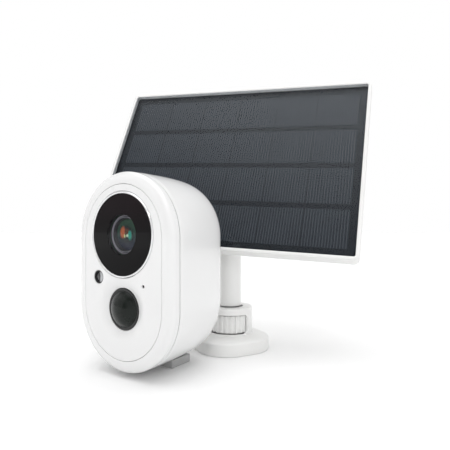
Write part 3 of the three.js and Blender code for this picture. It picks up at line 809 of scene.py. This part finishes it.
@shaped("window_cover", AT_WINDOW, "camera", [window_black, window_clear], "window_black", "window_glass",
        pick=within(LENS_WINDOW - 0.1))
def window_cover(low, high):
    radius = high.x
    front = filleted([(LENS_WINDOW, low.y), (radius, low.y), (radius, high.y), (LENS_WINDOW, high.y)], 0.25)
    path = [(0, low.y), *front, (0, high.y)]
    return turned(path, 160)


def on_ridge(centre):
    """The two narrow crests around the lens are polished, and their lighter grey is a painted highlight."""
    reach = hypot(centre.x, centre.z)
    return int(centre.y < 2.56 and (8.6 < reach < 8.9 or 7.95 < reach < 8.25))


@shaped("barrel", AT_WINDOW, "camera", [barrel_black, ridge_grey], "black_plastic", "lens_barrel",
        pick=on_ridge)
def lens_barrel():
    bore = LENS_RADIUS + 0.3
    path = filleted([
        (9.4, 2.1), (9.2, 2.1), (9.2, 2.6), (8.85, 2.6), (8.85, 2.2), (8.65, 2.2), (8.65, 2.9), (8.2, 3.0),
        (8.2, 2.5), (8.0, 2.5), (8.0, 3.2), (bore, 3.5), (bore, 8.4), (4, 8.4), (4, 14), (8.4, 14),
        (8.4, 6), (9.4, 6)], 0.05, 2, closed=True)
    return turned(path, 128, closed=True)


@shaped("front_element", AT_WINDOW, "camera", lens_coated, "lens_glass", "lens_front")
def lens_front(low, high):
    dome = [(LENS_RADIUS * i / 16, low.y + (high.y - low.y) * 0.45 * (i / 16) ** 2) for i in range(17)]
    back = [(LENS_RADIUS * (1 - i / 8), high.y - 0.4 * i / 8) for i in range(9)]
    return turned([*dome, *back], 96)


@shaped("rear_element", AT_WINDOW, "camera", lens_clear, "lens_glass", "lens_rear")
def lens_rear(low, high):
    bowl = [(high.x * i / 10, low.y + 0.6 * (i / 10) ** 2) for i in range(11)]
    dome = [(high.x * (1 - i / 10), high.y - 0.6 * (1 - i / 10) ** 2) for i in range(11)]
    return turned([*bowl, *dome], 64)


# a black disc just inside the microphone hole: painted shade that keeps the hole dark
mic_mesh = turned(filleted([(0, 0.7), (0.76, 0.7), (0.76, 2.1), (0, 2.1)], 0.1, 2), 24)
piece("microphone_hole_shade", mic_mesh, local(CAMERA, *MIC_AT), "camera", seal_black, "seal_rubber")


@shaped("sensor_dome", AT_PIR, "camera", [dome_smoked, dome_rim], "dome_black", "motion_lens",
        pick=lambda centre: 1 - within(DOME["cap"] - 0.02)(centre))
def motion_dome(low, high):
    """A spherical cap in a narrow black seat."""
    cap, rise = DOME["cap"], DOME["rise"]
    radius = (cap ** 2 + rise ** 2) / (2 * rise)
    front = [(radius * sin(t), low.y + radius * (1 - cos(t)))
             for t in (asin(cap / radius) * i / 20 for i in range(21))]
    seat = filleted([(cap, low.y + rise), (cap + 0.1, 1.55), (PIR_RADIUS - 0.15, 1.4), (PIR_RADIUS, 1.55),
                     (PIR_RADIUS, high.y), (7.6, high.y)], 0.1, 2)
    back = [(7.6 * (1 - i / 6), high.y - 3.6 * (1 - (1 - i / 6) ** 2)) for i in range(1, 7)]
    return turned([*front, *seat, *back], 96)


@shaped("light_sensor_lens", local(CAMERA, *SENSOR_AT), "camera", [black_plastic, sensor_dark],
        "dome_black", "light_sensor", pick=lambda centre: int(within(2.4)(centre) and centre.y < 1.5))
def light_sensor():
    outer = 3.15
    cup = filleted([(outer, 1.9, 0), (outer, 0.25), (outer - 0.35, 0.25), (outer - 0.5, 1.0)], 0.1, 2)
    lens = [(2.45 * (1 - i / 10), 1.0 - 0.75 * (1 - (1 - i / 10) ** 2)) for i in range(11)]
    return turned([(0, 1.9), *cup, *lens], 64)


# ==== camera: back and ports ====
@shaped("threaded_insert", CAMERA, "camera", insert_brass, "insert_brass", "mount_insert", crease=50)
def threaded_insert(low, high):
    """A bush with a helical camera thread in its bore."""
    _, z = middle_of("mount_insert", CAMERA)
    segments, per_pitch = 48, 8
    pitch, bore, depth = THREAD["pitch"], THREAD["bore"], THREAD["depth"]
    levels = int((high.y - low.y) / pitch * per_pitch)

    def crest(y):
        return lambda angle: bore + depth * abs(2 * (((y - low.y) / pitch - angle / TURN) % 1) - 1)

    thread = [circle(crest(y), y, segments, z=z)
              for y in (low.y + (high.y - low.y) * level / levels for level in range(levels + 1))]
    rim = [(bore + depth + 0.2, high.y), (high.x - 0.25, high.y), (high.x, high.y - 0.25), (high.x, low.y)]
    return loft([*thread, *(circle(radius, y, segments, z=z) for radius, y in rim)], closed=True)


@shaped("button_cap", CAMERA, "power_button", button_grey, "button_rubber", "power_button")
def power_button(low, high):
    stem, collar, cap = 1.0, (high.x - low.x) / 2, 2.6
    path = [
        (0, low.y), (stem, low.y), (stem, low.y + 1.6), (collar, low.y + 1.6), (collar, low.y + 2.6),
        (cap, low.y + 2.6), (cap, high.y - 0.1, 0.35), (cap - 0.6, high.y, 0.3),
        (cap - 1.1, high.y - 0.25, 0.3), (0, high.y - 0.35)]
    return turned(filleted(path, 0.08), 64, *middle_of("power_button", CAMERA))


@shaped("port_cover", CAMERA, "port_flap", flap_white, "flap_rubber", "port_flap")
def port_flap(low, high):
    middle = (low + high) / 2
    outline = rect_outline(high.x - low.x, high.z - low.z - 0.4, 0.6, 5, middle.x, middle.z + 0.2)
    flap = slab(outline, high.y - 1.6, high.y, 0.22)
    barrel = moved(cross_pin(0.8, low.x, high.x, 32, 0.15), 0, high.y - 0.8, low.z + 0.8)
    thumb = block(
        (middle.x - 2.4, high.y - 0.55, high.z - 1.5), (middle.x + 2.4, high.y + 1, high.z - 0.7), 0.25)
    line = block((low.x + 1, high.y - 0.25, low.z + 1.9), (high.x - 1, high.y + 1, low.z + 2.2), 0.1)
    return cut(join(flap, barrel), thumb, line)


@shaped("card", CAMERA, "memory_card", black_plastic, "black_plastic", "memory_card")
def memory_card(low, high):
    card = block(low, high, 0.12)
    finger = block((low.x + 1.5, high.y - 0.9, high.z - 0.15), (high.x - 1.5, high.y - 0.5, high.z + 1), 0.1)
    return cut(card, finger)


# ==== solar panel ====
LIP = 2.0  # how far the frame reaches over the glass
POCKET = 0.9  # the frame's wall around the glass


@shaped("panel_rim", PANEL, "panel", panel_white, "panel_white", "panel_frame")
def panel_frame(low, high):
    front, back = low.y, high.y
    path = filleted([
        (0, back, 0.3), (0, front + 0.1, 0.55), (LIP * 0.6, front, 0.3), (LIP, front + 0.12, 0.25),
        (LIP, -GAP, 0.1), (POCKET, -GAP, 0), (POCKET, back, 0.1)], 0.3, closed=True)
    return stack(rect_outline(*size_of("panel_frame", PANEL), 3, 10), path, closed=True)


@shaped("panel_cover_glass", PANEL, "panel", panel_clear, "panel_glass", "panel_glass")
def panel_glass(low, high):
    return slab(rect_outline(*size_of("panel_glass", PANEL), 1.4, 5), low.y, high.y, 0.15)


CELL_PITCH = (CELL_FIELD[0] / CELL_COLUMNS, (CELL_FIELD[1] + ROW_GAP + 0.5) / CELL_ROWS)
CELL_SIZE = (CELL_PITCH[0] - COLUMN_GAP, CELL_PITCH[1] - ROW_GAP)
CELL_FACE = span("cell_sheet", PANEL)[0].y  # the cells lie on the backing sheet, just behind the glass


def cell_places():
    for column in range(CELL_COLUMNS):
        for row in range(CELL_ROWS):
            yield (
                (column - (CELL_COLUMNS - 1) / 2) * CELL_PITCH[0],
                (row - (CELL_ROWS - 1) / 2) * CELL_PITCH[1],
            )


def merged(meshes):
    """Separate closed bodies as one mesh."""
    bm = bmesh.new()
    for mesh in meshes:
        bm.from_mesh(mesh)
    return mesh_of(bm, "merged")


def strip(x, z, width, height, low, high):
    """A thin printed strip with an eased front."""
    def outline(inset):
        a, b = width / 2 - inset, height / 2 - inset
        return [(x + i * a, z + j * b) for i, j in ((1, 1), (-1, 1), (-1, -1), (1, -1))]
    return stack(outline, [(0, high), (0, low + 0.01), (0.015, low)])


@shaped("cell_backing", PANEL, "panel", backing_dark, "solar_cells", "cell_sheet")
def backing(low, high):
    return slab(rect_outline(*size_of("cell_sheet", PANEL), 1.2, 4), low.y + 0.25, high.y, 0.08)


piece("solar_cells",
      merged(slab(rect_outline(*CELL_SIZE, 0.5, 3, x, z), CELL_FACE + 0.1, CELL_FACE + 0.25, 0.03)
             for x, z in cell_places()),
      PANEL, "panel", cell_silicon, "solar_cells")
piece("cell_fingers",
      merged(strip(x + ((i + 0.5) / FINGERS - 0.5) * CELL_SIZE[0], z, 0.34, CELL_SIZE[1] - 0.5,
                   CELL_FACE + 0.06, CELL_FACE + 0.1)
             for x, z in cell_places() for i in range(FINGERS)),
      PANEL, "panel", silver_ink, "solar_cells")

MOUNT_AT = middle_of("panel_insert", PANEL)
BOSS_RADIUS = 11.5  # round the insert that takes the tilting head
PLATE_BACK = span("panel_frame", PANEL)[1].y


@shaped("panel_cover", PANEL, "panel", panel_white, "panel_white", "panel_back")
def panel_back(low, high):
    plate = slab(rect_outline(*size_of("panel_back", PANEL), 1.4, 6), low.y, PLATE_BACK, 0.25)
    boss_path = filleted([
        (0, low.y + 1), (BOSS_RADIUS + 2.5, low.y + 1, 0), (BOSS_RADIUS + 2.5, PLATE_BACK - 0.02, 0),
        (BOSS_RADIUS, PLATE_BACK + 0.05, 1.6), (BOSS_RADIUS, high.y, 0.5), (0, high.y)], 0.3, 5)
    boss = turned(boss_path, 96, *MOUNT_AT)
    walls = filleted([(1, PLATE_BACK - 0.6), (0, PLATE_BACK - 0.6), (-0.3, PLATE_BACK + 0.1)], 0.3)
    pockets = [stack(rect_outline(43, 42, 4, 8, side * 49, row * 25), [*walls, (-0.3, PLATE_BACK + 1)])
               for side in (-1, 1) for row in (-1, 1)]
    recesses = [hole(2.3, PLATE_BACK, PLATE_BACK - 1.3, *middle_of(f"panel_screw_{i}", PANEL), 0.3, 40)
                for i in range(1, 5)]
    lead = block((10, 3, 22), (16, 8, 28), 0.4)
    stud_bore = hole(STUD_HOLE, high.y, low.y - 1, *MOUNT_AT, 0.3)
    return cut(join(plate, boss), *pockets, *recesses, lead, stud_bore)


def cover_screw(node):
    """A flat screw head with a cross recess, its face towards +y."""
    low, high = span(node, PANEL)
    x, z = middle_of(node, PANEL)
    head = (high.x - low.x) / 2
    path = [(0, low.y), (head, low.y), (head, high.y - 0.15), (head - 0.5, high.y), (0, high.y)]
    bars = [block((x - a, high.y - 0.7, z - b), (x + a, high.y + 1, z + b), 0.08)
            for a, b in ((1.2, 0.22), (0.22, 1.2))]
    return cut(turned(filleted(path, 0.12), 40, x, z), *bars)


for i in range(1, 5):
    piece(f"cover_screw_{i}", cover_screw(f"panel_screw_{i}"), PANEL, "panel", screw_steel, "screw_steel",
          f"panel_screw_{i}")


GLAND_LOW, GLAND_HIGH = span("lead_gland", PANEL)
GLAND_AT = ((GLAND_LOW.x + GLAND_HIGH.x) / 2, (GLAND_LOW.y + GLAND_HIGH.y) / 2)


@shaped("lead_box", PANEL, "panel", panel_white, "panel_white", "junction_box")
def junction_shell(low, high):
    outline = rect_outline(*size_of("junction_box", PANEL), 3, 8, *middle_of("junction_box", PANEL))
    outside = filleted([
        (0, low.y), (0, low.y + 5.6, 0.1), (0.25, low.y + 5.75, 0.05), (0.25, low.y + 5.95, 0.05),
        (0, low.y + 6.1, 0.1), (0, high.y, 1.6), (4, high.y)], 0.2, 5)
    inside = [(1.6, low.y), (1.6, high.y - 1.6), (4, high.y - 1.6)]
    bore = moved(upright([(0, -5), (2.2, -5), (2.2, 5), (0, 5)], 40), *GLAND_AT, low.z)
    return cut(stack(outline, [*reversed(outside), *inside]), bore)


@shaped("gland", PANEL, "panel", seal_black, "seal_rubber", "lead_gland", crease=40)
def lead_gland():
    low, high = GLAND_LOW.z, GLAND_HIGH.z
    flange = low + 2.7
    outside = [(1.7, low + 0.2, 0.2), (2.5, low, 0.3)]
    for z in (low + 0.5 + i * 0.7 for i in range(3)):
        outside += [(2.9, z), (2.9, z + 0.35), (2.6, z + 0.4), (2.6, z + 0.65)]
    outside += [(3.2, flange - 0.1), (3.2, flange), (2.0, flange, 0), (2.0, high), (1.7, high, 0)]
    return moved(upright(filleted(outside, 0.1, 2, closed=True), 48, closed=True), *GLAND_AT)


# ==== tilting head ====
EYE = {"half": 2.3, "radius": 4.8, "bore": 2.0}


@shaped("tilt_plate", HEAD, "tilt_head", stand_white, "stand_white", "tilt_head", bevel=0.3)
def tilt_head():
    points = points_of("tilt_head", HEAD)
    stud_front = min(p.y for p in points)
    plate = {round(p.y, 2) for p in points if hypot(p.x, p.z) > 9.5}
    front, back = min(plate), max(plate)
    disc = turned(filleted([
        (0, front), (10, front, 0.5), (10, back, 0.7), (4.2, back, 0.6), (3.2, back + 0.8, 0.5),
        (0, back + 0.8)], 0.3), 96)
    neck = block((-EYE["half"], back - 0.5, -4.4), (EYE["half"], 0, 4.4), 0.5)
    eye = cross_pin(EYE["radius"], -EYE["half"], EYE["half"], 64)
    stud = turned([(0, stud_front), (1.9, stud_front), (2.2, stud_front + 0.3), (2.2, front + 1),
                   (0, front + 1)], 40)
    return cut(join(disc, neck, eye, stud), cross_pin(EYE["bore"], -9, 9))


# ==== stand ====
BASE_SIDE, CAGE_TOP = size_of("base_housing", BASE)
BASE_TOP = 9.0  # where the cage rises from the foot
CAGE = {"radius": 12.85, "wall": 1.1, "half_angle": radians(66.7)}
WHEEL_HIGH = span("lock_wheel", STAND)[1]
WHEEL_RADIUS = WHEEL_HIGH.x
STEM_RADIUS = 6.4
STEM_TOP = 57.0


def window_cutter(middle):
    """Opens the cage on one side: a round-cornered window swept round it, its lip eased outside."""
    low, high = BASE_TOP + 0.6, WHEEL_HIGH.z + 0.4
    outer, half, corner = CAGE["radius"], CAGE["half_angle"] * CAGE["radius"], 2.6
    ends = [corner * (1 - cos(pi / 12 * i)) for i in range(6)]
    reach = [(-half + u, corner - sqrt(corner ** 2 - (corner - u) ** 2)) for u in ends]
    reach += [((i / 12 - 1) * (half - corner), 0.0) for i in range(25)]
    reach += [(-along, inset) for along, inset in reversed(reach[:6])]
    side = [(7.6, 0), (outer - 0.4, 0), (outer - 0.2, 0.06), (outer - 0.06, 0.2), (outer, 0.4),
            (outer + 2, 0.4)]
    rings = []
    for along, inset in reach:
        angle = middle + along / outer
        path = [(r, low + inset - flare) for r, flare in side]
        path += [(r, high - inset + flare) for r, flare in reversed(side)]
        rings.append([Vector((r * cos(angle), r * sin(angle), z)) for r, z in path])
    return loft(rings)


@shaped("stand_housing", STAND, "stand_base", stand_white, "stand_white", "base_housing", crease=38)
def base_housing():
    outside = filleted([(0, 0.6), (0, 7.0, 1.4), (2.6, 8.1, 4), (7.2, BASE_TOP, 0)], 1, 8)[1:]
    body = stack(square_outline, [(0.5, 0), (0.15, 0.15), (0, 0.5), *outside], vertical=True)
    hollow = stack(square_outline, [(2.1, -1), (2.1, 5.2), (4, 5.9), (7, 6.6)], vertical=True)
    for mesh in (body, hollow):
        mesh.transform(BASE)
    outer, top, bore = CAGE["radius"], CAGE_TOP, STEM_RADIUS + 1.1
    ring = upright(filleted([
        (bore + 2.4, BASE_TOP - 1.7, 0), (outer + 1.2, BASE_TOP - 1.7, 0), (outer + 1.2, BASE_TOP - 0.05, 0),
        (outer, BASE_TOP + 0.05, 1.0), (outer, top, 0.9), (bore, top, 0.35), (bore, top - 3, 0),
        (bore + 2.4, top - 3, 0)], 0.3, 6, closed=True), 144, closed=True)
    inner = outer - CAGE["wall"]
    cavity = upright([(0, 3.3), (inner, 3.3), (inner, top - 2.6), (0, top - 2.6)], 144)
    windows = [window_cutter(BASE_TURN + side * pi / 4) for side in (-1, 3)]
    return cut(join(cut(body, hollow), ring), cavity, *windows)


@shaped("plate", STAND, "stand_base", stand_white, "stand_white", "wall_plate")
def wall_plate():
    plate = slab(square_outline, 0, 2, 0.25, vertical=True)
    scale = -span("wall_plate", BASE)[0].x / (BASE_SIDE / 2)
    plate.transform(BASE @ Matrix.Diagonal((scale, scale, 1, 1)))
    holes = []
    for angle in (pi / 2 + TURN * i / 3 for i in range(3)):
        bore = upright([(0, -1), (3.3, -1), (3.3, -0.1), (2.1, 1.1), (2.1, 3), (0, 3)], 40)
        holes.append(moved(bore, 15 * cos(angle), 15 * sin(angle)))
    return cut(plate, *holes)


@shaped("ribbed_wheel", STAND, "lock_wheel", stand_white, "stand_white", "lock_wheel", crease=40)
def lock_wheel(low, high):
    bottom, top, bore = low.z, high.z, 8.6

    def level(drop, z, ribbed=True):
        def reach(angle):
            phase = angle / TURN * RIBS % 1
            rib = 0.5 * max(0.0, min(1.0, (abs(2 * phase - 1) - 0.42) / 0.18))
            return WHEEL_RADIUS - drop - (rib if ribbed else 0)
        return circle(reach, z, RIBS * 12, vertical=True)

    inside = WHEEL_RADIUS - bore
    return loft([
        level(inside, bottom, False), level(1.2, bottom, False), level(0.35, bottom),
        level(0.1, bottom + 0.12), level(0, bottom + 0.4), level(0, top - 0.4), level(0.1, top - 0.12),
        level(0.35, top), level(1.2, top, False), level(inside, top, False),
    ], closed=True)


@shaped("stem_tube", STAND, "stem", stand_white, "stand_white", "stem", bevel=0.35, crease=36)
def stem(low):
    pin = Vector(joint("panel_tilt")["pos_m"]) / MM
    ear_inner, ear_outer, ear_radius = 2.6, 6.2, 5.0
    shaft = upright(filleted([
        (0, 38.4), (4.9, 38.4, 0), (4.9, low.z, 0.2), (STEM_RADIUS, low.z, 0.35),
        (STEM_RADIUS, STEM_TOP, 0.6), (0, STEM_TOP)], 0.3, 5), 96)
    sides = [(STEM_TOP - 0.3, -5.2), (STEM_TOP + 2.4, pin.y - 7.6), (pin.z - 0.6, pin.y - ear_radius)]
    sides += [(pin.z + ear_radius * sin(t), pin.y - ear_radius * cos(t))
              for t in (pi * i / 24 for i in range(1, 25))]
    sides += [(STEM_TOP - 0.3, 5.2)]
    ears = [loft([[Vector((x, y, z)) for z, y in sides] for x in pair])
            for pair in ((-ear_outer, -ear_inner), (ear_inner, ear_outer))]
    return cut(join(shaft, *ears), moved(cross_pin(EYE["bore"], -9, 9), *pin))


@shaped("clamp_bolt", ACROSS, "stem", screw_steel, "screw_steel", "tilt_bolt")
def tilt_bolt(low, high):
    """Along y: socket head first, then the shank."""
    head = (high.z - low.z) / 2
    head_end = low.y + 2.1
    path = filleted([(0, low.y), (head, low.y, 0.35), (head, head_end, 0.15), (1.7, head_end, 0.1),
                     (1.7, high.y, 0.3), (0, high.y)], 0.2)
    socket = loft([circle(1.45, y, 6) for y in (low.y - 1, low.y + 1.4)])
    return cut(turned(path, 64), socket)


@shaped("lobed_knob", ACROSS, "tilt_knob", stand_white, "stand_white", "tilt_knob", crease=45)
def tilt_knob(low, high):
    radius, count, lobes = (high.z - low.z) / 2, 96, 8

    def lobed(drop, y):
        def reach(angle):
            return radius - drop - 0.45 * (0.5 - 0.5 * cos(lobes * angle)) ** 1.5
        return circle(reach, y, count)

    return loft([
        circle(2.0, high.y - 0.7, count), circle(2.0, low.y, count), circle(3.6, low.y, count),
        lobed(0.4, low.y + 0.1), lobed(0.05, low.y + 0.5), lobed(0, low.y + 1), lobed(0, high.y - 1),
        lobed(0.08, high.y - 0.5), lobed(0.35, high.y - 0.15), lobed(0.7, high.y),
        circle(2.6, high.y, count), circle(2.2, high.y - 0.3, count),
    ])


# ==== stage: floor, light and camera ====
def pale_floor():
    bm = bmesh.new()
    bmesh.ops.create_circle(bm, cap_ends=True, segments=128, radius=4.0)
    floor = placed("floor", mesh_of(bm, "floor"))
    s = Surface("floor_paper", Roughness=0.9, Specular_IOR_Level=0.1)
    s.feed(s.shader.inputs["Base Color"], s.mix(s.noise(40, 3), (0.86, 0.86, 0.86), (0.88, 0.88, 0.88)))
    floor.data.materials.append(s.material)


def soft_light(name, at, width, height, watts):
    """A lamp that faces the middle of the object."""
    lamp = bpy.data.lights.new(name, "AREA")
    lamp.shape = "RECTANGLE"
    lamp.size, lamp.size_y = width, height
    lamp.energy = watts
    made = placed(name, lamp)
    made.location = at
    middle = (CAD_BOX[0] + CAD_BOX[1]) / 2
    made.rotation_euler = (middle - Vector(at)).to_track_quat("-Z", "Y").to_euler()


def studio_world():
    """White to the eye; as a light it is a soft sky with a dark flag where the lens window looks."""
    world = bpy.data.worlds.new("studio")
    world.use_nodes = True
    world.node_tree.nodes.clear()
    sky = Nodes(world.node_tree)
    towards = sky.node("TexCoord").outputs["Generated"]
    ramp = sky.node("ValToRGB", {0: sky.node("SeparateXYZ", {0: towards}).outputs[2]})
    stops = ramp.color_ramp.elements
    for stop, (position, level) in zip(stops, (SKY[0], SKY[-1])):
        stop.position, stop.color = position, (level, level, level, 1)
    for position, level in SKY[1:-1]:
        stops.new(position).color = (level, level, level, 1)
    facing = sky.node("VectorMath", {
        0: towards, 1: FLAG["towards"].normalized()}, operation="DOT_PRODUCT").outputs["Value"]
    flag = sky.node("MapRange", {
        0: facing, 1: FLAG["from"], 2: FLAG["to"], 3: 1.0, 4: FLAG["level"]}, interpolation_type="SMOOTHSTEP")
    flagged = sky.node("Mix", {
        0: 1.0, 6: ramp.outputs[0], 7: flag.outputs[0]}, data_type="RGBA", blend_type="MULTIPLY")
    light = sky.node("Background", {0: flagged.outputs[2], 1: SKY_STRENGTH})
    seen = sky.node("Background", {0: (1, 1, 1, 1), 1: 1.0})
    straight = sky.node("LightPath").outputs["Is Camera Ray"]
    mixed = sky.node("MixShader", {0: straight, 1: light.outputs[0], 2: seen.outputs[0]})
    sky.node("OutputWorld", {0: mixed.outputs[0]})
    bpy.context.scene.world = world


def view_camera():
    data = bpy.data.cameras.new("view")
    data.lens = VIEW_LENS
    data.sensor_width = VIEW_SENSOR
    data.clip_start = 0.005
    made = placed("view", data)
    made.location = VIEW_POINT * MM
    made.rotation_euler = (pi / 2, 0, VIEW_AZIMUTH)
    bpy.context.scene.camera = made


pale_floor()
studio_world()
soft_light("key", (-0.85, -0.6, 0.42), 0.9, 0.9, 2.0)
soft_light("fill", (0.75, -0.6, 0.25), 0.8, 0.8, 0.3)
soft_light("kicker", (0.36, -0.85, 0.8), 0.24, 0.12, 1.1)
view_camera()
bpy.context.scene.view_settings.view_transform = "Standard"
